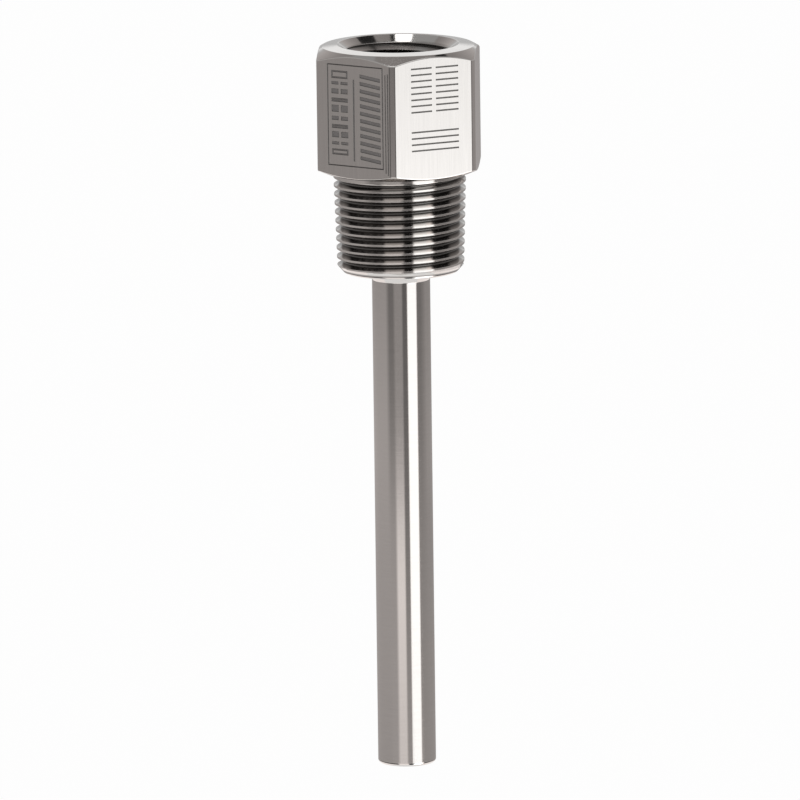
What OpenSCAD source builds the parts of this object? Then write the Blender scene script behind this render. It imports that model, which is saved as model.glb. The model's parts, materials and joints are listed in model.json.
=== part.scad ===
// Threaded thermowell, one piece of stainless steel bar.
//
// It screws into a pipe or vessel by the tapered male thread and takes a
// temperature probe down its blind bore. The probe's head screws into the
// female thread in the hexagon.
//
// +Z runs up the axis, out of the mouth. The origin is on the axis in the
// underside of the hexagon, where the male thread starts. All sizes are in
// millimetres. The female thread is left as its tapping bore.

/* [Hexagon head] */
// Width across the flats
hex_af = 31.75; // [28:0.25:38]
// How far the sharp corners are turned down to the round of the bar
corner_relief = 0.33; // [0.05:0.01:0.6]
// Height from the underside to the rim of the mouth
head_h = 25.6; // [22:0.1:34]
// Slope of the turned chamfer at the mouth's end of the flats
chamfer_angle = 30; // [20:1:40]
// Slope of the turned chamfer on the underside
foot_angle = 23; // [15:1:35]
// Step in from the flats to the circle where a chamfer starts
chamfer_inset = 0.65; // [0.2:0.05:1.2]
// Slope of the end face, from the rim of the mouth down to its chamfer
face_angle = 6; // [1:0.5:10]

/* [Instrument connection] */
// Diameter of the mouth's rim
mouth_d = 24.4; // [23:0.1:26]
// Included angle of the countersink in the mouth
mouth_angle = 108; // [80:1:120]
// Tapping diameter of the female thread
socket_d = 18.3; // [16:0.1:19.5]
// Depth of the tapped bore below the rim
socket_depth = 18; // [14:0.5:20]

/* [Process thread] */
// Pitch of the male thread, 14 threads to the inch
thread_pitch = 1.8143; // [1.2:0.0001:2.4]
// Crest diameter at the small end
thread_d = 25.45; // [24.5:0.05:27]
// The diameter shrinks by 1 in this many along the thread
thread_taper = 16; // [12:1:24]
// Depth of the groove from crest to root
thread_depth = 1.1; // [0.6:0.05:1.2]
// Width of the flat on the crest
crest_flat = 0.39; // [0.2:0.01:0.5]
// Included angle between the flanks
flank_angle = 60; // [50:1:60]
// Length of the threaded end, from the hexagon to its end face
thread_len = 20.5; // [16:0.5:26]
// Plain length under the hexagon, where the groove has run out
neck_len = 1.1; // [0.6:0.1:3]
// Length over which the groove runs out towards the neck
runout_len = 0.7; // [0.5:0.1:3]
// Depth of the lead-in chamfer on the end, measured on the radius
lead_in = 1.2; // [0.6:0.05:1.8]
// Slope of the lead-in chamfer from the axis
lead_in_angle = 42; // [30:1:60]

/* [Stem] */
// Diameter of the stem
stem_d = 11.7; // [11:0.1:14]
// Length of the stem, from the threaded end to the tip
stem_len = 101; // [40:0.5:200]
// Radius of the fillet at the root of the stem
stem_fillet = 1.9; // [0.3:0.1:3]
// Radius of the rounded edge at the tip
tip_edge = 0.9; // [0.3:0.1:2]

/* [Sensor bore] */
// Diameter of the bore
bore_d = 7; // [6:0.1:8.5]
// Metal left between the end of the bore and the tip
tip_wall = 4.5; // [3:0.5:8]
// Included angle of the drill points
drill_angle = 118; // [90:1:140]

/* [Hidden] */

STEEL = [0.66, 0.64, 0.62];
// Facets round a revolved form
$fn = 128;
// Straight segments in each turn of the thread
TURN_STEPS = 60;
// Overlap that joins one form to the next
JOIN = 1;

bar_r = hex_af / 2 / cos(30) - corner_relief;
chamfer_r = hex_af / 2 - chamfer_inset;
chamfer_h = (bar_r - chamfer_r) * tan(chamfer_angle);
foot_h = (bar_r - chamfer_r) * tan(foot_angle);
mouth_r = mouth_d / 2;
face_drop = (chamfer_r - mouth_r) * tan(face_angle);
countersink_h = (mouth_r - socket_d / 2) / tan(mouth_angle / 2);

stem_r = stem_d / 2;
stem_top = -thread_len;
stem_tip = stem_top - stem_len;

bore_r = bore_d / 2;
bore_point_h = bore_r / tan(drill_angle / 2);
bore_end = stem_tip + tip_wall + bore_point_h;
socket_end = head_h - socket_depth;
socket_point_h = socket_d / 2 / tan(drill_angle / 2);

// The groove's profile over one pitch, from the foot of one crest upward:
// [share of the pitch, share of the depth]
crest_share = crest_flat / thread_pitch;
flank_share = thread_depth * tan(flank_angle / 2) / thread_pitch;
PROFILE = [[0, 0], [crest_share, 0], [crest_share + flank_share, 1], [1 - flank_share, 1]];
STEPS = len(PROFILE);
// Height of the first helical row above the end face
row_start = 0.1;
threaded_h = thread_len - neck_len - row_start;
turns = ceil(threaded_h / thread_pitch) - 1;
rows = turns * STEPS;
// Height of the ring that closes the form, clear of the last row
closing_z = 2 * thread_pitch;

// Radius of the plain taper and of its lead-in at height z
function taper_r(z) = (thread_d + (z + thread_len) / thread_taper) / 2;
function blank_r(z) =
    min(taper_r(z), thread_d / 2 - lead_in + (z + thread_len) * tan(lead_in_angle));
// Share of the full depth that the groove keeps as it nears the neck
function kept_depth(z) = min(1, max(0, (-neck_len - z) / runout_len));
// Radius of the cut surface at height z and a share of the depth
function cut_r(z, share) =
    min(blank_r(z), taper_r(z) - thread_depth * share * kept_depth(z));

// A point on the helical row, at a step round the turn
function row_z(row, step) =
    thread_pitch * (floor(row / STEPS) + PROFILE[row % STEPS][0] + step / TURN_STEPS)
    + row_start - thread_len;
function on_circle(r, step, z) =
    [r * cos(360 * step / TURN_STEPS), r * sin(360 * step / TURN_STEPS), z];
function row_point(row, step) =
    let (z = row_z(row, step)) on_circle(cut_r(z, PROFILE[row % STEPS][1]), step, z);

// The tapered end with its helical groove. Rows of points follow the helix, so
// the end of each row meets the start of the row one pitch above it. A plain
// ring closes each end of the form.
module threaded_end() {
    last = TURN_STEPS - 1;
    bottom_ring = [for (step = [0:last]) on_circle(blank_r(-thread_len), step, -thread_len)];
    top_ring = [for (step = [0:last]) on_circle(taper_r(closing_z), step, closing_z)];
    helix = [for (row = [0:rows + STEPS], step = [0:last]) row_point(row, step)];
    top_at = TURN_STEPS + len(helix);

    function at(row, step) = TURN_STEPS * (row + 1) + step;
    function ring_face(start) = [for (step = [0:last]) start + step];
    function reversed(face) = [for (i = [len(face) - 1:-1:0]) face[i]];

    // Between two rows, within the turn and across its end
    wall = [for (row = [0:rows + STEPS - 1], step = [0:last - 1])
        each [[at(row, step), at(row + 1, step), at(row + 1, step + 1)],
              [at(row, step), at(row + 1, step + 1), at(row, step + 1)]]];
    seam = [for (row = [0:rows - 1])
        each [[at(row, last), at(row + 1, last), at(row + 1 + STEPS, 0)],
              [at(row, last), at(row + 1 + STEPS, 0), at(row + STEPS, 0)]]];
    // Between the bottom ring and the first row
    low_band = [for (step = [0:last - 1])
        each [[step, at(0, step), at(0, step + 1)], [step, at(0, step + 1), step + 1]]];
    low_end = [for (row = [0:STEPS - 1]) [at(0, last), at(row + 1, 0), at(row, 0)]];
    low_seam = [[last, at(0, last), at(0, 0)], [last, at(0, 0), 0]];
    // Between the last row and the top ring
    top_row = rows + STEPS;
    high_band = [for (step = [0:last - 1])
        each [[at(top_row, step), top_at + step, top_at + step + 1],
              [at(top_row, step), top_at + step + 1, at(top_row, step + 1)]]];
    high_end = [for (row = [rows:top_row - 1]) [at(top_row, 0), at(row, last), at(row + 1, last)]];
    high_seam = [[at(top_row, last), top_at + last, top_at],
                 [at(top_row, last), top_at, at(top_row, 0)]];

    polyhedron(
        points = concat(bottom_ring, helix, top_ring),
        faces = concat([ring_face(0)], [reversed(ring_face(top_at))], wall, seam,
                       low_band, low_end, low_seam, high_band, high_end, high_seam),
        convexity = 10);
}

module head() {
    hexagon_r = hex_af / 2 / cos(30);
    intersection() {
        rotate([0, 0, 30]) cylinder(r = hexagon_r, h = head_h, $fn = 6);
        rotate_extrude() polygon([
            [0, 0],
            [chamfer_r, 0],
            [bar_r, foot_h],
            [bar_r, head_h - face_drop - chamfer_h],
            [chamfer_r, head_h - face_drop],
            [mouth_r, head_h],
            [0, head_h]
        ]);
    }
}

module stem() {
    rotate_extrude() {
        translate([0, stem_tip + tip_edge])
            square([stem_r, stem_len - tip_edge + JOIN]);
        translate([0, stem_tip])
            square([stem_r - tip_edge, tip_edge]);
        intersection() {
            translate([stem_r - tip_edge, stem_tip + tip_edge]) circle(r = tip_edge);
            translate([0, stem_tip]) square([stem_r, tip_edge]);
        }
        difference() {
            translate([0, stem_top - stem_fillet]) square([stem_r + stem_fillet, stem_fillet]);
            translate([stem_r + stem_fillet, stem_top - stem_fillet]) circle(r = stem_fillet);
        }
    }
}

// The countersink, the tapping bore with its drill point, and the long bore
module bores() {
    rotate_extrude() polygon([
        [0, bore_end - bore_point_h],
        [bore_r, bore_end],
        [bore_r, socket_end - socket_point_h + bore_r / tan(drill_angle / 2)],
        [socket_d / 2, socket_end],
        [socket_d / 2, head_h - countersink_h],
        [mouth_r, head_h],
        [mouth_r, head_h + JOIN],
        [0, head_h + JOIN]
    ]);
}

module thermowell() {
    color(STEEL)
        difference() {
            union() {
                head();
                threaded_end();
                stem();
            }
            bores();
        }
}

thermowell();
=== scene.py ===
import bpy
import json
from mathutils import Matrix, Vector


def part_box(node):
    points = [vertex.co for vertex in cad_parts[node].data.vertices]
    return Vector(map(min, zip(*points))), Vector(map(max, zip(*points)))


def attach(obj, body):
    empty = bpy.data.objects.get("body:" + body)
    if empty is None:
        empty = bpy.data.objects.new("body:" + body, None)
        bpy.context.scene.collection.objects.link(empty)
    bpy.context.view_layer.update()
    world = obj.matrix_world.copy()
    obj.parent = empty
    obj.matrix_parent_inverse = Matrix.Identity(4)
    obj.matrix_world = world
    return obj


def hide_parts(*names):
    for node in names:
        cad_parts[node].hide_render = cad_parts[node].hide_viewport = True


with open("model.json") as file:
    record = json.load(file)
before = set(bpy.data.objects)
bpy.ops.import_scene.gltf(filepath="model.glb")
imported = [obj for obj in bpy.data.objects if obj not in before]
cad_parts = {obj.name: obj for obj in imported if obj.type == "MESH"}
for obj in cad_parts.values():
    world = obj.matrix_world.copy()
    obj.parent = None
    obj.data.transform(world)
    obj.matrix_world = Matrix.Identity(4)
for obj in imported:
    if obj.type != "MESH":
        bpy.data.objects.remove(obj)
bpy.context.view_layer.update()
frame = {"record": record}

import json
import math

import bpy
import numpy as np
from mathutils import Matrix, Vector
from mathutils.geometry import delaunay_2d_cdt

MM = 0.001

# ---------------------------------------------------------------- sizes, in millimetres

low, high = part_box("thermowell")
mounts = {mount["name"]: mount for mount in frame["record"]["mounts"]}


def mount_span(mount):
    """Radius of a bore mount and the heights of its top and its end."""
    middle, half = mount["pos_m"][2] / MM, mount["dims"]["length_mm"] / 2
    return mount["dims"]["r_mm"], middle + half, middle - half


HALF_FLATS = high.x / MM
BAR_R = high.y / MM
HEAD_H = high.z / MM
STEM_TIP = low.z / MM

CHAMFER_INSET = 0.65
CHAMFER_R = HALF_FLATS - CHAMFER_INSET
CHAMFER_SLOPE = math.tan(math.radians(30))
FOOT_SLOPE = math.tan(math.radians(23))
MOUTH_R = 12.2
FACE_DROP = (CHAMFER_R - MOUTH_R) * math.tan(math.radians(6))
SINK_SLOPE = math.tan(math.radians(54))

SOCKET_R, _, SOCKET_END = mount_span(mounts["instrument_thread"])
BORE_R, BORE_TOP, BORE_END = mount_span(mounts["sensor_bore"])
DRILL_SLOPE = math.tan(math.radians(59))

PITCH = 1.8143
TAPER = 1 / 32
THREAD_LEN = 20.5
NECK_LEN = 0.95
RUNOUT_LEN = 0.35
THREAD_R = 25.45 / 2
THREAD_DEPTH = 1.1
CREST_FLAT = 0.39
FLANK_SLOPE = math.tan(math.radians(30))
LEAD_IN = 1.2
LEAD_IN_SLOPE = math.tan(math.radians(42))
# The groove fades out before the end face
END_PLAIN = 1.2
END_RUNOUT = 0.3
# Known fault: the corner at this height above the end face has no turn and no fillet, so
# its rows coincide. They make faces of no area and wrong normals on the band around them.
END_BAND = 0.8
# The female thread is in the scene only; the solids have its tapping bore
FEMALE_FOOT = HEAD_H - 13.4
FEMALE_RUNOUT = 1.4
FEMALE_DEPTH = 1.35
FEMALE_FLAT = 0.12
# Height of a crest's middle on the +X side, for each thread
MALE_CREST = -3.876
FEMALE_CREST = 22.45

# A short cone joins the stem to the end face of the thread
STEM_R = 5.85
CONE_LEN = 1.75
CONE_SLOPE = math.tan(math.radians(35))
TIP_EDGE = 0.7
# The fans that close the bore's end and the tip start from rings this wide
BORE_FAN_R = 0.2
TIP_FAN_R = 0.3

# ---------------------------------------------------------------- the skin of the part
# The part is one closed skin. Rows of points run along the meridian, from the end
# of the bore up the inside, over the rim and down the outside to the tip. Columns
# go round the axis. The rows of the threads follow the helix.

TURNED, FLATS, THREAD, INSIDE, GREY_MARK, DARK_MARK = range(6)

# Degrees from where the bar's round meets a flat, on both sides of it
NEAR_CORNER = (-0.5, -0.25, -0.08, 0.08, 0.25, 0.5, 0.9)
FLAT_START = 1.9
FLAT_COLUMNS = 12
# Extra columns make the threads finer round the front
EXTRA_COLUMNS = np.arange(257.0, 308.0, 1.2)
COLUMN_GAP = 0.4
CORNER_SMOOTHING = 0.1
# A fillet takes up no more than this share of either side
FILLET_ROOM = 0.45


def column_angles():
    """Angles round the axis, dense at the turned corners of the hexagon."""
    strip = math.degrees(math.pi / 6 - math.acos(HALF_FLATS / BAR_R))
    near = [0, 0.6 * strip] + [strip + d for d in NEAR_CORNER]
    half = near + list(np.linspace(strip + FLAT_START, 30, FLAT_COLUMNS))
    sector = [-a for a in half[:0:-1]] + half[:-1]
    angles = [(30 + 60 * k + a) % 360 for k in range(6) for a in sector]
    for extra in EXTRA_COLUMNS:
        if min(abs(extra - a) for a in angles) > COLUMN_GAP:
            angles.append(extra)
    return np.radians(np.array(sorted(angles)))


THETA = column_angles()
COLS = len(THETA)


class Skin:
    """Points with a normal and a share of painted root shade each, and faces with a material each."""

    def __init__(self):
        self.points, self.normals, self.painted_shade = [], [], []
        self.faces, self.slots, self.flat = [], [], {}
        self.count = 0

    # The third value of each point is how much painted shade darkens it in the thread roots
    def add(self, points, normals, painted_shade=0.0):
        points, normals = points.reshape(-1, 3), normals.reshape(-1, 3)
        self.points.append(points)
        self.normals.append(normals)
        self.painted_shade.append(np.broadcast_to(painted_shade, points.shape[:1]).astype(float))
        first, self.count = self.count, self.count + len(points)
        return first

    def face(self, corners, slot, normal=None):
        if normal is not None:
            self.flat[len(self.faces)] = normal
        self.faces.append([int(c) for c in corners])
        self.slots.append(slot)

    def all_points(self):
        return np.concatenate(self.points)


skin = Skin()


def unit(v, axis=-1):
    return v / np.maximum(np.linalg.norm(v, axis=axis, keepdims=True), 1e-12)


def smooth_min(a, b, width):
    h = np.clip(0.5 + 0.5 * (b - a) / width, 0, 1)
    return b * (1 - h) + a * h - width * h * (1 - h)


def side_r(theta):
    """Radius of the hexagon, with its corners turned down to the bar."""
    off = np.degrees(theta) % 60
    off = np.radians(np.minimum(off, 60 - off))
    return smooth_min(HALF_FLATS / np.cos(off), np.full_like(theta, BAR_R), CORNER_SMOOTHING)


def rounded(corners, theta, steps):
    """Points and tangents of a meridian of (r, z, fillet radius) corners."""
    one = np.ones_like(theta)
    pts = [np.array([c[0] * one, c[1] * one]) for c in corners]
    rows, tangents = [pts[0]], [unit(pts[1] - pts[0], 0)]
    for i in range(1, len(pts) - 1):
        before, after = pts[i] - pts[i - 1], pts[i + 1] - pts[i]
        d1, d2 = unit(before, 0), unit(after, 0)
        cross = d1[0] * d2[1] - d1[1] * d2[0]
        turn = np.arctan2(np.abs(cross), (d1 * d2).sum(0))
        inward = np.where(cross >= 0, 1.0, -1.0) * np.array([-d1[1], d1[0]])
        shorter = np.minimum(np.linalg.norm(before, axis=0), np.linalg.norm(after, axis=0))
        room = FILLET_ROOM * shorter
        cut = np.minimum(corners[i][2] * np.tan(turn / 2), room)
        radius = cut / np.maximum(np.tan(turn / 2), 1e-9)
        for s in range(steps + 1):
            a = turn * s / steps
            rows.append(pts[i] - d1 * cut + radius * (np.sin(a) * d1 + (1 - np.cos(a)) * inward))
            tangents.append(np.cos(a) * d1 + np.sin(a) * inward)
    rows.append(pts[-1])
    tangents.append(unit(pts[-1] - pts[-2], 0))
    rows, tangents = np.array(rows), np.array(tangents)
    return rows[:, 0], rows[:, 1], tangents[:, 0], tangents[:, 1]


def spin(r, z, theta):
    return np.stack([r * np.cos(theta), r * np.sin(theta), z + 0 * r], -1)


STEPS = 3
STEM_STEPS = 8


def turned(meridian, slot_of, steps=STEPS):
    """Adds rows of a meridian that may change with the angle. Returns its end rings."""
    step = 1e-5  # radians, for the slope round the axis
    r, z, tr, tz = rounded(meridian(THETA), THETA, steps)
    r2, z2, _, _ = rounded(meridian(THETA + step), THETA + step, steps)
    around = (spin(r2, z2, THETA + step) - spin(r, z, THETA)) / step
    normals = unit(np.cross(spin(tr, tz, THETA), around))
    first = skin.add(spin(r, z, THETA), normals)
    for i in range(len(r) - 1):
        for j in range(COLS):
            k = (j + 1) % COLS
            a, b = first + i * COLS, first + (i + 1) * COLS
            slot = slot_of(i, j)
            if slot is not None:
                skin.face((a + j, b + j, b + k, a + k), slot)
    return first, first + (len(r) - 1) * COLS


def cap(ring, z, upward, slot):
    """Closes a ring with a fan about the axis."""
    centre = skin.add(np.array([[0.0, 0.0, z]]), np.array([[0.0, 0.0, 1.0 if upward else -1.0]]))
    for j in range(COLS):
        k = (j + 1) % COLS
        skin.face((centre, ring + j, ring + k) if upward else (centre, ring + k, ring + j), slot)


# Steps in each fillet of the curve that a groove's depth is read from
CURVE_STEPS = 24


class Profile:
    """Depth of a groove against the distance below the middle of a crest."""

    def __init__(self, flat, deep, crest_edge, root_edge, steps):
        edge, foot = flat / 2, flat / 2 + deep * FLANK_SLOPE
        corners = [(0, 0, 0), (0, edge, crest_edge), (deep, foot, root_edge),
                   (deep, PITCH - foot, root_edge), (0, PITCH - edge, crest_edge), (0, PITCH, 0)]
        depth, place, slope_r, slope_z = rounded(corners, np.zeros(1), CURVE_STEPS)
        self.place, self.depth = place[:, 0], depth[:, 0]
        self.slope = slope_r[:, 0] / slope_z[:, 0]
        _, rows, _, _ = rounded(corners, np.zeros(1), steps)
        self.rows = rows[:-1, 0]

    def at(self, place):
        place = place % PITCH
        return np.interp(place, self.place, self.depth), np.interp(place, self.place, self.slope)


# Painted shade in the root of a thread: its colour as a share of the crest's, the same all round
ROOT_SHADE_TONE = 0.3
# Shares of a groove's depth where the painted root shade starts and where it is complete
ROOT_STARTS, ROOT_FULL = 0.35, 0.85
# Share of a turn in which a groove fades in where its thread starts
FADE_IN = 0.12


def root_shade_share(depth, full_depth):
    """How far the painted shade of the root reaches up a groove: 0 near the crest, 1 in the root."""
    return np.interp(depth / full_depth, [ROOT_STARTS, ROOT_FULL], [0, 1])


def helix(profile, surface, crest_z, start, turns, seam, rising, slot, squeeze, rings):
    """Adds rows that climb one pitch in a turn, between two rings.

    surface gives r, its two slopes and the share of the groove that is kept.
    """
    start_ring, end_ring = rings
    m = len(profile.rows)
    order = (seam + np.arange(COLS)) % COLS
    lap = ((THETA - THETA[seam]) % (2 * math.pi))[order] / (2 * math.pi)
    theta = THETA[order]
    total = turns * m
    rows = list(profile.rows)
    if rising:
        rows = [0.0] + [PITCH - row for row in rows[:0:-1]]
    travel = np.array([PITCH * (i // m) + rows[i % m] for i in range(total + 1)])[:, None]
    z = squeeze(start + PITCH * lap + (travel if rising else -travel))
    crest = crest_z + PITCH * theta / (2 * math.pi)
    place = crest - z
    depth, slope = profile.at(place)
    first_turn = travel < PITCH - 1e-9
    from_start = lap if rising else 1 - lap
    fade = np.where(first_turn, np.clip(from_start / FADE_IN, 0, 1), 1.0)
    r, dr_dz, dr_dt, cut = surface(z, depth * fade, slope * fade)
    out = -1.0 if rising else 1.0
    radial = np.stack([np.cos(theta), np.sin(theta), 0 * theta], -1)
    tangent = np.stack([-np.sin(theta), np.cos(theta), 0 * theta], -1)
    axial = np.array([0, 0, 1.0])
    normal = radial - (dr_dt / r)[..., None] * tangent - dr_dz[..., None] * axial
    points = spin(r, z, theta)
    ring_points, ring_normals, painted_shade = np.empty_like(points), np.empty_like(points), np.empty_like(r)
    ring_points[:, order] = points
    ring_normals[:, order] = out * unit(normal)
    # Painted shade in the thread's roots, deepest in the root and fading in with the groove
    painted_shade[:, order] = root_shade_share(depth, profile.depth.max()) * cut * fade
    base = skin.add(ring_points, ring_normals, painted_shade.ravel())
    last = COLS - 1

    def v(row, step):
        return base + row * COLS + order[step]

    for i in range(total):
        for k in range(last):
            skin.face((v(i, k), v(i + 1, k), v(i + 1, k + 1), v(i, k + 1)), slot)
    for k in range(last):
        skin.face((start_ring + order[k], v(0, k), v(0, k + 1), start_ring + order[k + 1]), slot)
        skin.face((v(total, k), end_ring + order[k], end_ring + order[k + 1], v(total, k + 1)), slot)
    start_first, start_last = start_ring + order[0], start_ring + order[last]
    end_first, end_last = end_ring + order[0], end_ring + order[last]
    skin.face((start_last, v(0, last), v(0, 0), start_first), slot)
    skin.face((v(total, last), end_last, end_first, v(total, 0)), slot)
    if rising:
        for i in range(total - m):
            skin.face((v(i, last), v(i + 1, last), v(i + 1 + m, 0), v(i + m, 0)), slot)
        for i in range(m):
            skin.face((v(0, last), v(i + 1, 0), v(i, 0)), slot)
        for i in range(total - m, total):
            skin.face((v(total, 0), v(i, last), v(i + 1, last)), slot)
    else:
        for i in range(total - m):
            skin.face((v(i + m, last), v(i + 1 + m, last), v(i + 1, 0), v(i, 0)), slot)
        for i in range(m):
            skin.face((v(0, 0), v(i, last), v(i + 1, last)), slot)
        for i in range(total - m, total):
            skin.face((v(total, last), v(i + 1, 0), v(i, 0)), slot)


def taper_r(z):
    return THREAD_R + (z + THREAD_LEN) * TAPER


def male(z, depth, slope):
    blank = THREAD_R - LEAD_IN + (z + THREAD_LEN) * LEAD_IN_SLOPE
    at_neck = np.clip((-NECK_LEN - z) / RUNOUT_LEN, 0, 1)
    at_end = np.clip((z + THREAD_LEN - END_PLAIN) / END_RUNOUT, 0, 1)
    kept = at_neck * at_end
    fading = (np.where((at_end > 0) & (at_end < 1), at_neck / END_RUNOUT, 0.0)
              - np.where((at_neck > 0) & (at_neck < 1), at_end / RUNOUT_LEN, 0.0))
    cut = taper_r(z) - depth * kept
    on_lead = blank < cut
    dr_dz = np.where(on_lead, LEAD_IN_SLOPE, TAPER + slope * kept - depth * fading)
    dr_dt = np.where(on_lead, 0.0, -slope * kept * PITCH / (2 * math.pi))
    return np.minimum(blank, cut), dr_dz, dr_dt, kept


def female(z, depth, slope):
    sink = MOUTH_R - (HEAD_H - z) * SINK_SLOPE
    kept = np.clip((z - FEMALE_FOOT) / FEMALE_RUNOUT, 0, 1)
    fading = np.where((kept > 0) & (kept < 1), 1 / FEMALE_RUNOUT, 0.0)
    cut = SOCKET_R + depth * kept
    on_sink = sink > cut
    dr_dz = np.where(on_sink, SINK_SLOPE, depth * fading - slope * kept)
    dr_dt = np.where(on_sink, 0.0, slope * kept * PITCH / (2 * math.pi))
    return np.maximum(sink, cut), dr_dz, dr_dt, np.where(on_sink, 0.0, kept)


def squeezed(limit, nominal, actual, sign):
    """Packs the rows past a limit into the short way that is left to the end."""

    def squeeze(z):
        past = sign * (z - limit)
        return np.where(past > 0, limit + sign * past * actual / nominal, z)

    return squeeze


def nearest_column(angle):
    return int(np.argmin(np.abs(THETA - angle)))


# Heights where a helix takes over from the turned rows
FOOT_GAP = 0.3
SOCKET_FOOT = FEMALE_FOOT - FOOT_GAP
SINK_ROW = HEAD_H - 1.1
NECK_ROW = -0.35
END_ROW = -THREAD_LEN + 1.05


# The meridians list their corners as (radius, height, fillet radius)
def bore_meridian(theta):
    return [(BORE_FAN_R, BORE_END - (BORE_R - BORE_FAN_R) / DRILL_SLOPE, 0),
            (BORE_R, BORE_END, 0.1), (BORE_R, BORE_TOP, 0.2),
            (SOCKET_R, SOCKET_END, 0.2), (SOCKET_R, SOCKET_FOOT, 0)]


def head_meridian(theta):
    side = side_r(theta)
    return [(MOUTH_R - (HEAD_H - SINK_ROW) * SINK_SLOPE, SINK_ROW, 0), (MOUTH_R, HEAD_H, 0.15),
            (CHAMFER_R, HEAD_H - FACE_DROP, 0.5),
            (side, HEAD_H - FACE_DROP - (side - CHAMFER_R) * CHAMFER_SLOPE, 0.3),
            (side, (side - CHAMFER_R) * FOOT_SLOPE, 0.25),
            (CHAMFER_R, 0, 0.2), (taper_r(0), 0, 0.12), (taper_r(NECK_ROW), NECK_ROW, 0)]


def stem_meridian(theta):
    end_r = THREAD_R - LEAD_IN
    return [(end_r + (END_ROW + THREAD_LEN) * LEAD_IN_SLOPE, END_ROW, 0),
            (end_r + END_BAND * LEAD_IN_SLOPE, -THREAD_LEN + END_BAND, 0),
            (end_r, -THREAD_LEN, 0.05),
            (STEM_R + CONE_LEN * CONE_SLOPE, -THREAD_LEN, 0.3),
            (STEM_R, -THREAD_LEN - CONE_LEN, 0.15),
            (STEM_R, STEM_TIP, TIP_EDGE), (TIP_FAN_R, STEM_TIP, 0)]


# The row whose faces are the flats of the hexagon
SIDE_ROW = 3 * (STEPS + 1)
# The two faces of the hexagon that carry marks, by the angle of their normal
LEFT_FACE, RIGHT_FACE = 240, 300
# Half the angle that the open patch for the marks takes up of a flat
PATCH_HALF = 30 - 2.7


def on_patch(column, angle):
    return abs(math.degrees(THETA[column % COLS]) - angle) < PATCH_HALF


def head_slot(row, column):
    """The material of a face. It is None where marked_face fills the patch."""
    if row != SIDE_ROW:
        return TURNED
    for angle in (LEFT_FACE, RIGHT_FACE):
        if on_patch(column, angle) and on_patch(column + 1, angle):
            return None
    return FLATS


bore_start, bore_ring = turned(bore_meridian, lambda row, column: INSIDE)
cap(bore_start, BORE_END - BORE_R / DRILL_SLOPE, True, INSIDE)
head_start, neck_ring = turned(head_meridian, head_slot)
stem_start, tip_ring = turned(stem_meridian, lambda row, column: TURNED, STEM_STEPS)
cap(tip_ring, STEM_TIP, False, TURNED)

# Corner radii of the crest and the root, then the steps in each
male_profile = Profile(CREST_FLAT, THREAD_DEPTH, 0.045, 0.1, 2)
female_profile = Profile(FEMALE_FLAT, FEMALE_DEPTH, 0.05, 0.06, 1)

# Where the packing of rows starts before the ring at each end of a thread, and the
# way that it packs them into
END_GAP, END_ROOM = 0.12, 0.1
NECK_GAP = 0.1
MOUTH_GAP, MOUTH_ROOM = 0.2, 0.15

back = nearest_column(math.pi / 2)
male_start = MALE_CREST + PITCH * (1 + THETA[back] / (2 * math.pi))
male_turns = 11
end_limit = END_ROW + END_GAP
end_over = end_limit - (male_start - male_turns * PITCH)
end_squeeze = squeezed(end_limit, end_over, END_ROOM, -1)
neck_limit = -NECK_LEN + NECK_GAP
neck_over = male_start + PITCH - neck_limit
neck_squeeze = squeezed(neck_limit, neck_over, NECK_ROW - NECK_GAP - neck_limit, 1)
helix(male_profile, male, MALE_CREST, male_start, male_turns, back, False, THREAD,
      lambda z: neck_squeeze(end_squeeze(z)), (neck_ring, stem_start))

front = nearest_column(3 * math.pi / 2)
crest_front = FEMALE_CREST + PITCH * THETA[front] / (2 * math.pi)
female_start = crest_front + PITCH * math.ceil((SOCKET_FOOT + FOOT_GAP - crest_front) / PITCH)
mouth_limit = SINK_ROW - MOUTH_GAP
female_turns = int((mouth_limit - female_start) / PITCH) + 1
mouth_over = female_start + (female_turns + 1) * PITCH - mouth_limit
helix(female_profile, female, FEMALE_CREST, female_start, female_turns, front, True, INSIDE,
      squeezed(mouth_limit, mouth_over, MOUTH_ROOM, 1), (bore_ring, head_start))

# ---------------------------------------------------------------- etched marks
# Plain bars, frames and slots, sunk into two faces. They carry no words. A mark runs
# from s0 to s1 round the face and from z0 to z1 in height.

MARK_DEPTH = 0.1
MARK_WALL = 0.1
FRAME_LINE = 0.24
BLOCK_LINE = 0.36
BAR_LEAN = -0.12
LEFT_BARS, LEFT_BAR_STEP = 12, 1.5
BLOCK_STEPS = (1.9, 1.1, 1.5, 1.1, 1.9, 1.3, 1.1, 1.7, 1.1, 1.5)
BLOCK_GAP = 0.35
SLOT_WIDTH, SLOT_STEP = 0.32, 1.25


def box_loop(s0, z0, s1, z1, lean):
    """A closed loop round a rectangle whose level sides slope by lean."""
    return [(s, z + lean * (s - s0)) for s, z in ((s1, z1), (s0, z1), (s0, z0), (s1, z0))]


def pocket(s0, z0, s1, z1, lean=0.0):
    """A sunk bar: the loops round its rim and its floor."""
    w = MARK_WALL
    return [box_loop(s0, z0, s1, z1, lean), box_loop(s0 + w, z0 + w, s1 - w, z1 - w, lean)]


def outline(s0, z0, s1, z1, line):
    """A sunk frame: the loops of its outer rim, its floor's two sides and its inner rim."""
    return [box_loop(s0 + inset, z0 + inset, s1 - inset, z1 - inset, 0.0)
            for inset in (0, MARK_WALL, line - MARK_WALL, line)]


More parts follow.
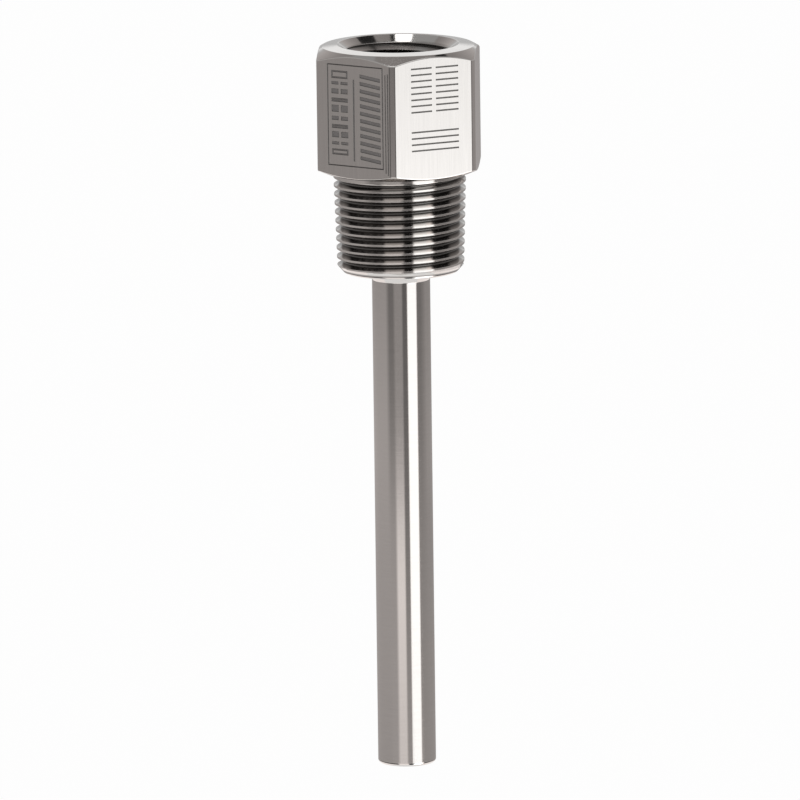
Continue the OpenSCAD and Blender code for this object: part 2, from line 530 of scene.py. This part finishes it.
def left_marks():
    """A frame round leaning bars and a column of blocks, and two lines at its right."""
    marks = [outline(-6.5, 2.7, 6.85, 23.3, FRAME_LINE)]
    for k in range(LEFT_BARS):
        z = 21.6 - LEFT_BAR_STEP * k
        marks.append(pocket(1.3, z - 0.75, 6.2, z, lean=BAR_LEAN))
    z = 22.0
    for k, step in enumerate(BLOCK_STEPS):
        if k % 3 == 0:
            marks.append(outline(-5.5, z - step + 0.3, -1.6, z, BLOCK_LINE))
        else:
            marks.append(pocket(-5.5, z - step + 0.5, -3.8, z))
            marks.append(pocket(-3.3, z - step + 0.5, -1.6, z))
        z -= step + BLOCK_GAP
    marks.append(pocket(-0.35, 3.9, 0.0, 20.4))
    marks.append(pocket(7.3, 2.0, 7.5, 21.9))
    marks.append(pocket(7.85, 1.6, 8.1, 22.1))
    return marks


def right_marks():
    """Plain rows of equal slots: no letters, numbers or signs."""
    marks = []
    for s0, s1, top, rows in ((-5.0, -0.4, 23.0, 8), (0.5, 5.5, 23.0, 8), (-5.0, 5.5, 10.2, 4)):
        for k in range(rows):
            z = top - SLOT_STEP * k
            marks.append(pocket(s0, z - SLOT_WIDTH, s1, z))
    return marks


def marked_face(angle, marks, slot):
    """Fills the open patch of one flat, with its marks sunk into it."""
    a = math.radians(angle)
    normal = np.array([math.cos(a), math.sin(a), 0.0])
    side = np.array([-math.sin(a), math.cos(a), 0.0])
    columns = [j for j in range(COLS) if on_patch(j, angle)]
    top = [head_start + SIDE_ROW * COLS + j for j in columns]
    bottom = [i + COLS for i in top]

    def add(loop, depth):
        pts = np.array([normal * (HALF_FLATS - depth) + side * s + np.array([0, 0, z]) for s, z in loop])
        first = skin.add(pts, np.tile(normal, (len(pts), 1)))
        return list(range(first, first + len(pts)))

    def quads(one, other):
        """The faces between two loops of the same length."""
        for i in range(len(one)):
            k = (i + 1) % len(one)
            yield one[i], one[k], other[k], other[i]

    def wall(quad):
        p = [points[q] for q in quad]
        skin.face(quad, DARK_MARK, unit(np.cross(p[1] - p[0], p[3] - p[0])))

    # the loops that cut up the flat: its edge, then each mark's rims
    owners = bottom + top[::-1]
    points = skin.all_points()
    flat = [(float(points[i] @ side), float(points[i][2])) for i in owners]
    cells = [list(range(len(flat)))]
    holes, islands, sunk = [], [], []
    for loops in marks:
        depths = (0, MARK_DEPTH, MARK_DEPTH, 0)[:len(loops)]
        rings = [add(loop, depth) for loop, depth in zip(loops, depths)]
        sunk.append(rings)
        for number, kind in ((0, holes), (3, islands))[:len(loops) // 2]:
            kind.append(len(cells))
            cells.append(list(range(len(flat), len(flat) + len(loops[number]))))
            flat += loops[number]
            owners += rings[number]

    points = skin.all_points()
    for rings in sunk:
        for quad in quads(rings[0], rings[1]):
            wall(quad)
        if len(rings) == 2:
            skin.face(rings[1], slot, normal)
            continue
        for quad in quads(rings[1], rings[2]):
            skin.face(quad, slot, normal)
        for quad in quads(rings[3], rings[2]):
            wall(quad[::-1])

    corners = [Vector(point) for point in flat]
    _, _, triangles, origins, _, inside = delaunay_2d_cdt(corners, [], cells, 1, 1e-6, True)
    lookup = [owners[origin[0]] for origin in origins]
    for triangle, where in zip(triangles, inside):
        # outside every mark, or on the island inside a frame
        if sum(cell in holes for cell in where) == sum(cell in islands for cell in where):
            skin.face([lookup[i] for i in triangle], FLATS, normal)


marked_face(LEFT_FACE, left_marks(), GREY_MARK)
marked_face(RIGHT_FACE, right_marks(), DARK_MARK)

# ---------------------------------------------------------------- materials


# How far the tool lines change the colour and the roughness, as shares of each
TINT_SPREAD = 0.07
ROUGH_SPREAD = 0.3
LINE_DETAIL = 3.0
LINE_HEIGHT = 0.00001


def steel(name, colour, roughness, stretch, grain, painted_root_tone=1.0):
    """Stainless steel with fine tool lines; stretch sets which way they run.

    A root tone below 1 paints shade into the roots of the threads, by the mesh's groove attribute.
    """
    material = bpy.data.materials.new(name)
    material.use_nodes = True
    nodes, links = material.node_tree.nodes, material.node_tree.links
    shader = nodes["Principled BSDF"]
    shader.inputs["Metallic"].default_value = 1.0
    coord = nodes.new("ShaderNodeTexCoord")
    place = nodes.new("ShaderNodeMapping")
    place.inputs["Scale"].default_value = stretch
    lines = nodes.new("ShaderNodeTexNoise")
    lines.inputs["Scale"].default_value = 1.0
    lines.inputs["Detail"].default_value = LINE_DETAIL
    links.new(coord.outputs["Object"], place.inputs["Vector"])
    links.new(place.outputs["Vector"], lines.inputs["Vector"])
    tint = nodes.new("ShaderNodeMix")
    tint.data_type = "RGBA"
    tint.inputs["A"].default_value = (*[c * (1 - TINT_SPREAD) for c in colour], 1)
    tint.inputs["B"].default_value = (*[c * (1 + TINT_SPREAD) for c in colour], 1)
    links.new(lines.outputs["Fac"], tint.inputs["Factor"])
    rough = nodes.new("ShaderNodeMapRange")
    rough.inputs["To Min"].default_value = roughness * (1 - ROUGH_SPREAD)
    rough.inputs["To Max"].default_value = roughness * (1 + ROUGH_SPREAD)
    links.new(lines.outputs["Fac"], rough.inputs["Value"])
    bump = nodes.new("ShaderNodeBump")
    bump.inputs["Strength"].default_value = grain
    bump.inputs["Distance"].default_value = LINE_HEIGHT
    links.new(lines.outputs["Fac"], bump.inputs["Height"])
    links.new(bump.outputs["Normal"], shader.inputs["Normal"])
    last = tint.outputs["Result"]
    # Painted shade: the groove attribute darkens the colour in the roots of the threads
    if painted_root_tone < 1:
        attribute = nodes.new("ShaderNodeAttribute")
        attribute.attribute_name = "groove"
        ramp = nodes.new("ShaderNodeValToRGB")
        for element, tone in zip(ramp.color_ramp.elements, (1.0, painted_root_tone)):
            element.color = (tone, tone, tone, 1)
        shade = nodes.new("ShaderNodeMix")
        shade.data_type = "RGBA"
        shade.blend_type = "MULTIPLY"
        shade.inputs["Factor"].default_value = 1.0
        links.new(attribute.outputs["Fac"], ramp.inputs["Fac"])
        links.new(last, shade.inputs["A"])
        links.new(ramp.outputs["Color"], shade.inputs["B"])
        last = shade.outputs["Result"]
    links.new(last, shader.inputs["Base Color"])
    links.new(rough.outputs["Result"], shader.inputs["Roughness"])
    return material


STEEL = (0.66, 0.64, 0.62)
# In the order of the slots TURNED to DARK_MARK
surfaces = [
    steel("turned_steel", STEEL, 0.09, (300, 300, 9000), 0.10),
    steel("drawn_steel", STEEL, 0.08, (4000, 4000, 120), 0.08),
    # The thread and bore materials darken their thread roots with painted shade
    steel("thread_steel", (0.64, 0.62, 0.60), 0.09, (300, 300, 9000), 0.08, ROOT_SHADE_TONE),
    steel("bored_steel", (0.55, 0.53, 0.51), 0.16, (500, 500, 5000), 0.2, ROOT_SHADE_TONE),
    steel("grey_mark", (0.33, 0.32, 0.315), 0.40, (3000, 3000, 3000), 0.3),
    steel("dark_mark", (0.16, 0.155, 0.15), 0.35, (3000, 3000, 3000), 0.3),
]

mesh = bpy.data.meshes.new("thermowell_skin")
mesh.from_pydata([tuple(p) for p in skin.all_points() * MM], [], skin.faces)
for surface in surfaces:
    mesh.materials.append(surface)
mesh.polygons.foreach_set("material_index", skin.slots)
mesh.polygons.foreach_set("use_smooth", [True] * len(mesh.polygons))
# Painted shade for the thread roots, a share for each point
groove = mesh.attributes.new("groove", "FLOAT", "POINT")
groove.data.foreach_set("value", np.concatenate(skin.painted_shade))
normals = np.concatenate(skin.normals)
corner_normals = []
for index, face in enumerate(skin.faces):
    fixed = skin.flat.get(index)
    corner_normals += [tuple(normals[c]) if fixed is None else tuple(fixed) for c in face]
mesh.normals_split_custom_set(corner_normals)
part = bpy.data.objects.new("thermowell_body", mesh)
bpy.context.scene.collection.objects.link(part)
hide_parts("thermowell")
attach(part, "root")

# ---------------------------------------------------------------- camera

VIEW_AZ = math.radians(-90 + 3.9)
VIEW_EL = math.radians(10.5)
VIEW_ROLL = math.radians(0.735)
VIEW_DISTANCE = 2.5
# What the frame spans, across the point that the camera aims at
FRAME_WIDTH = 800 / 4.963 * MM
AIM = Vector((0, 0, -48 * MM))
AIM_RIGHT = -0.00052
AIM_UP = 0.00089
SENSOR = 36

toward = Vector((math.cos(VIEW_EL) * math.cos(VIEW_AZ),
                 math.cos(VIEW_EL) * math.sin(VIEW_AZ),
                 math.sin(VIEW_EL)))
right = Vector((-math.sin(VIEW_AZ), math.cos(VIEW_AZ), 0))
up = toward.cross(right)
camera = bpy.data.objects.new("camera", bpy.data.cameras.new("camera"))
bpy.context.scene.collection.objects.link(camera)
camera.data.sensor_width = SENSOR
camera.data.lens = SENSOR * VIEW_DISTANCE / FRAME_WIDTH
camera.data.clip_end = 100
stand = AIM + toward * VIEW_DISTANCE + right * AIM_RIGHT + up * AIM_UP
turn = Matrix.Rotation(-VIEW_ROLL, 3, toward) @ Matrix((right, up, toward)).transposed()
camera.matrix_world = Matrix.Translation(stand) @ turn.to_4x4()
bpy.context.scene.camera = camera

# ---------------------------------------------------------------- studio


def glow_sheet(name, points, rows, columns, colours):
    """A grid that shines with a colour at each of its points. The camera doesn't see it."""
    faces = [(i * columns + j, i * columns + j + 1, (i + 1) * columns + j + 1, (i + 1) * columns + j)
             for i in range(rows - 1) for j in range(columns - 1)]
    data = bpy.data.meshes.new(name)
    data.from_pydata(points, [], faces)
    tone = data.color_attributes.new("tone", "FLOAT_COLOR", "POINT")
    tone.data.foreach_set("color", [c for colour in colours for c in (*colour, 1)])
    material = bpy.data.materials.new(name)
    material.use_nodes = True
    nodes = material.node_tree.nodes
    nodes.clear()
    out = nodes.new("ShaderNodeOutputMaterial")
    glow = nodes.new("ShaderNodeEmission")
    tones = nodes.new("ShaderNodeAttribute")
    tones.attribute_name = "tone"
    material.node_tree.links.new(tones.outputs["Color"], glow.inputs["Color"])
    material.node_tree.links.new(glow.outputs[0], out.inputs[0])
    data.materials.append(material)
    card = bpy.data.objects.new(name, data)
    bpy.context.scene.collection.objects.link(card)
    card.visible_camera = False
    card.visible_shadow = False


WALL_R = 1.2
WARM = np.array([1.05, 0.985, 0.965])
NEUTRAL = np.array([1.0, 1.0, 1.0])
# The light round the object. Azimuths count to the right from the camera. Each band
# has one tone for each of the heights, which are in metres.
HEIGHTS = [-0.420, -0.375, -0.345, -0.314, -0.298, -0.283, -0.252,
           -0.237, -0.205, -0.196, -0.150, 0.0]
LEFT = [0.35, 0.41, 0.42, 0.43, 0.46, 0.49, 0.43, 0.39, 0.33, 0.33, 0.33, 0.40]
LEFT_DARK = [0.43, 0.43, 0.43, 0.44, 0.42, 0.28, 0.20, 0.18, 0.18, 0.10, 0.10, 0.18]
FRONT = [0.85, 0.72, 0.90, 1.10, 0.80, 0.28, 0.33, 0.28, 0.45, 0.26, 0.20, 0.30]
RIGHT_DARK = [0.40, 0.40, 0.35, 0.26, 0.21, 0.17, 0.165, 0.14, 0.12, 0.03, 0.03, 0.12]
SOFTBOX = [1.50, 1.45, 1.55, 1.60, 1.60, 1.60, 1.60, 1.55, 1.50, 1.36, 1.25, 1.4]
RIGHT_NEAR = [0.35, 0.35, 0.34, 0.32, 0.30, 0.27, 0.22, 0.18, 0.20, 0.20, 0.20, 0.2]
RIGHT = [0.35, 0.37, 0.36, 0.35, 0.36, 0.40, 0.35, 0.32, 0.36, 0.35, 0.34, 0.36]
# Azimuths between which the light is neutral, and not slightly warm
NEUTRAL_FROM, NEUTRAL_TO = 23, 62
BANDS = [(-180, LEFT), (-66, LEFT), (-50, LEFT_DARK),
         (-35, LEFT_DARK), (-25, FRONT), (0, FRONT), (6, RIGHT_DARK), (21, RIGHT_DARK),
         (25, SOFTBOX), (60, SOFTBOX), (64, RIGHT_NEAR), (80, RIGHT_NEAR), (112, RIGHT),
         (176, RIGHT), (180, LEFT)]


def warm_outside_softbox(azimuth, tone):
    return tuple((NEUTRAL if NEUTRAL_FROM < azimuth < NEUTRAL_TO else WARM) * tone)


def sphere_point(radius, azimuth, elevation=0.0):
    """A point by its distance, its azimuth from the camera and its elevation, in degrees."""
    a, e = VIEW_AZ + math.radians(azimuth), math.radians(elevation)
    return (radius * math.cos(e) * math.cos(a), radius * math.cos(e) * math.sin(a),
            radius * math.sin(e))


def ring(name, heights, bands):
    """A ring of light round the object, from the bands' tones at each height."""
    azimuths = np.arange(-180, 180.5, 1.0)
    points, colours = [], []
    for row, height in enumerate(heights):
        tones = np.interp(azimuths, [band[0] for band in bands], [band[1][row] for band in bands])
        for azimuth, tone in zip(azimuths, tones):
            x, y, _ = sphere_point(WALL_R, azimuth)
            points.append((x, y, height))
            colours.append(warm_outside_softbox(azimuth, tone))
    glow_sheet(name, points, len(heights), len(azimuths), colours)


ring("surround", HEIGHTS, BANDS)

# Below the surround, light falls in from the front, from the softbox and from straight
# behind. Between them stand dark cloths, whose lower edges rise toward the back.
LOW_HEIGHTS = [-1.90, -1.40, -1.20, -1.05, -0.92, -0.75, -0.63, -0.53, -0.421]
# Azimuth, and how many of the rows are below the cloth's edge there
CLOTH_EDGES = [(40, 1), (62, 2), (75, 3), (91, 4), (105, 5), (120, 6), (140, 7), (165, 8)]
CLOTH, FRONT_LOW, SOFTBOX_LOW, BACK_LOW = 0.02, 1.1, 3.0, 0.8
# Tone of the last row, where the low ring meets the surround
JOIN_LOW = 0.38


def low_band(azimuth, lit_rows):
    dark_rows = len(LOW_HEIGHTS) - lit_rows - 1
    return (azimuth, [FRONT_LOW] * lit_rows + [CLOTH] * dark_rows + [JOIN_LOW])


def even_band(azimuth, tone):
    return (azimuth, [tone] * len(LOW_HEIGHTS))


left_cloth = [low_band(-azimuth, edge) for azimuth, edge in CLOTH_EDGES[::-1]]
right_cloth = [low_band(azimuth, edge) for azimuth, edge in CLOTH_EDGES[2:]]
ring("low_ring", LOW_HEIGHTS,
     [even_band(-180, BACK_LOW), even_band(-170, BACK_LOW)]
     + left_cloth
     + [even_band(-34, FRONT_LOW), even_band(7, FRONT_LOW),
        even_band(10, CLOTH), even_band(30, CLOTH),
        even_band(33, SOFTBOX_LOW), even_band(69, SOFTBOX_LOW)]
     + right_cloth
     + [even_band(170, BACK_LOW), even_band(180, BACK_LOW)])

# A card high up straight behind, for the end face of the hexagon, dimmer at its edges
CARD_R = 2
CARD_TONE, CARD_EDGE = 1.02, 0.55
card_azimuths, card_elevations = (164, 168, 192, 196), (9, 12, 24, 28)
points, colours = [], []
for elevation in card_elevations:
    for azimuth in card_azimuths:
        inner = elevation in card_elevations[1:-1] and azimuth in card_azimuths[1:-1]
        points.append(sphere_point(CARD_R, azimuth, elevation))
        colours.append((CARD_TONE if inner else CARD_EDGE,) * 3)
glow_sheet("back_card", points, len(card_elevations), len(card_azimuths), colours)

# Cards high up on the camera's side, brightest above the softbox
SKY_R = 1.6
SKY_BANDS = [(-130, 0.42), (-29, 0.42), (-25, 0.8), (0, 0.8), (6, 0.6), (21, 0.4), (25, 1.5),
             (60, 1.5), (64, 0.55), (130, 0.6)]
sky_azimuths = np.arange(-130, 130.5, 2.0)
sky_elevations = np.arange(46, 86, 6.0)
points, colours = [], []
for elevation in sky_elevations:
    for azimuth in sky_azimuths:
        tone = np.interp(azimuth, [band[0] for band in SKY_BANDS], [band[1] for band in SKY_BANDS])
        points.append(sphere_point(SKY_R, azimuth, elevation))
        colours.append((tone, tone, tone))
glow_sheet("sky_cards", points, len(sky_elevations), len(sky_azimuths), colours)

OVERHEAD_Z = HEAD_H * MM + 1.0


def overhead(name, near0, right0, near1, right1, tone):
    """A flat card above the mouth, from its spans toward the camera and to its right."""
    forward = Vector((math.cos(VIEW_AZ), math.sin(VIEW_AZ), 0))
    corners = [forward * near + right * aside + Vector((0, 0, OVERHEAD_Z))
               for near, aside in ((near0, right0), (near1, right0), (near0, right1), (near1, right1))]
    glow_sheet(name, [tuple(corner) for corner in corners], 2, 2, [(tone, tone, tone)] * 4)


overhead("top_light", -0.28, -0.20, -0.04, 0.033, 3.0)
overhead("top_flag", -0.75, 0.34, -0.20, 0.60, 0.02)
overhead("top_side", -0.70, -0.80, 0.10, -0.205, 0.37)
overhead("top_flag_edge", -0.28, 0.033, -0.04, 0.109, 0.03)

world = bpy.data.worlds.new("studio")
bpy.context.scene.world = world
world.use_nodes = True
nodes, links = world.node_tree.nodes, world.node_tree.links
nodes.clear()
out = nodes.new("ShaderNodeOutputWorld")
back_light = nodes.new("ShaderNodeBackground")
coord = nodes.new("ShaderNodeTexCoord")
split = nodes.new("ShaderNodeSeparateXYZ")
ramp = nodes.new("ShaderNodeValToRGB")
# The world's light by the upward part of its direction: its tone and its tint
stops = ((0.0, 0.55, NEUTRAL), (0.24, 0.54, NEUTRAL), (0.40, 0.48, WARM), (0.70, 0.29, WARM),
         (1.0, 0.27, WARM))
while len(ramp.color_ramp.elements) < len(stops):
    ramp.color_ramp.elements.new(0.5)
for element, (position, tone, tint) in zip(ramp.color_ramp.elements, stops):
    element.position = position
    element.color = (*(tint * tone), 1)
# The camera sees plain white behind the object
rays = nodes.new("ShaderNodeLightPath")
seen = nodes.new("ShaderNodeMix")
seen.data_type = "RGBA"
seen.inputs["B"].default_value = (1, 1, 1, 1)
links.new(coord.outputs["Generated"], split.inputs[0])
links.new(split.outputs["Z"], ramp.inputs["Fac"])
links.new(ramp.outputs["Color"], seen.inputs["A"])
links.new(rays.outputs["Is Camera Ray"], seen.inputs["Factor"])
links.new(seen.outputs["Result"], back_light.inputs["Color"])
links.new(back_light.outputs[0], out.inputs[0])

FLOOR_Z = STEM_TIP * MM - 1.8
FLOOR_HALF = 40
# Share of the floor's own white in its mix with the matte surface that takes shadow
FLOOR_WHITE = 0.98
FLOOR_GREY = 0.9
floor_mesh = bpy.data.meshes.new("floor")
floor_corners = [(x * FLOOR_HALF, y * FLOOR_HALF, FLOOR_Z)
                 for x, y in ((-1, -1), (1, -1), (1, 1), (-1, 1))]
floor_mesh.from_pydata(floor_corners, [], [(0, 1, 2, 3)])
floor = bpy.data.objects.new("floor", floor_mesh)
bpy.context.scene.collection.objects.link(floor)
floor_material = bpy.data.materials.new("floor")
floor_material.use_nodes = True
nodes, links = floor_material.node_tree.nodes, floor_material.node_tree.links
matte = nodes["Principled BSDF"]
matte.inputs["Base Color"].default_value = (FLOOR_GREY, FLOOR_GREY, FLOOR_GREY, 1)
matte.inputs["Roughness"].default_value = 1.0
matte.inputs["Specular IOR Level"].default_value = 0.0
glow = nodes.new("ShaderNodeEmission")
glow.inputs["Color"].default_value = (1, 1, 1, 1)
blend = nodes.new("ShaderNodeMixShader")
blend.inputs[0].default_value = FLOOR_WHITE
links.new(matte.outputs[0], blend.inputs[1])
links.new(glow.outputs[0], blend.inputs[2])
links.new(blend.outputs[0], nodes["Material Output"].inputs[0])
floor_mesh.materials.append(floor_material)

bpy.context.scene.view_settings.view_transform = "Standard"
